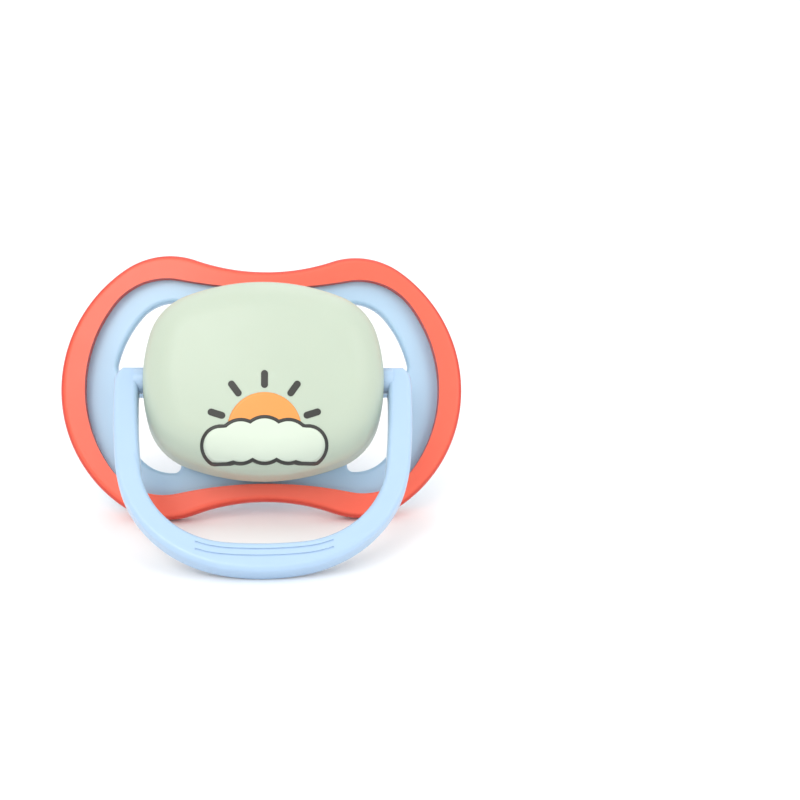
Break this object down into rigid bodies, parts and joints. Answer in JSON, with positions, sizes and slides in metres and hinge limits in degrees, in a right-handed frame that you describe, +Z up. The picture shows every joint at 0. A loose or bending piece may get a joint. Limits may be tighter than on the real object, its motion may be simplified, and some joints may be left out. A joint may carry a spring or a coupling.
{
  "type": "baby pacifier",
  "caption": "Baby pacifier with a vented saucer shield, soft bumper rim, hollow pebble button, swinging ring handle and clear silicone teat.",
  "frame": {"origin": "on the surface it rests on, under the middle of its box", "axes": "+Z up, +X along the shield's long axis, -Y towards the side that the button faces; the pacifier leans back on its teat with the ring down"},
  "size_m": [0.062, 0.0614, 0.0375],
  "materials": {
    "teat_silicone": "frosted clear silicone",
    "plug_plastic": "clear moulded plastic",
    "shield_blue": "satin moulded plastic",
    "rim_coral": "satin soft-touch overmould",
    "carrier_plastic": "moulded plastic",
    "ring_blue": "satin moulded plastic",
    "button_green": "satin moulded plastic"
  },
  "bodies": {
    "pacifier_body": {"teat": "teat_silicone", "teat_plug": "plug_plastic", "shield_plate": "shield_blue", "shield_rim": "rim_coral", "handle_carrier": "carrier_plastic", "button_cover": "button_green"},
    "ring": {"ring_handle": "ring_blue"}
  },
  "joints": [
    {"name": "ring_swing", "type": "hinge", "parent": "pacifier_body", "child": "ring", "pos_m": [0, -0.00543, 0.02138], "axis": [-1, 0, 0], "range_deg": [-32, 162]}
  ]
}
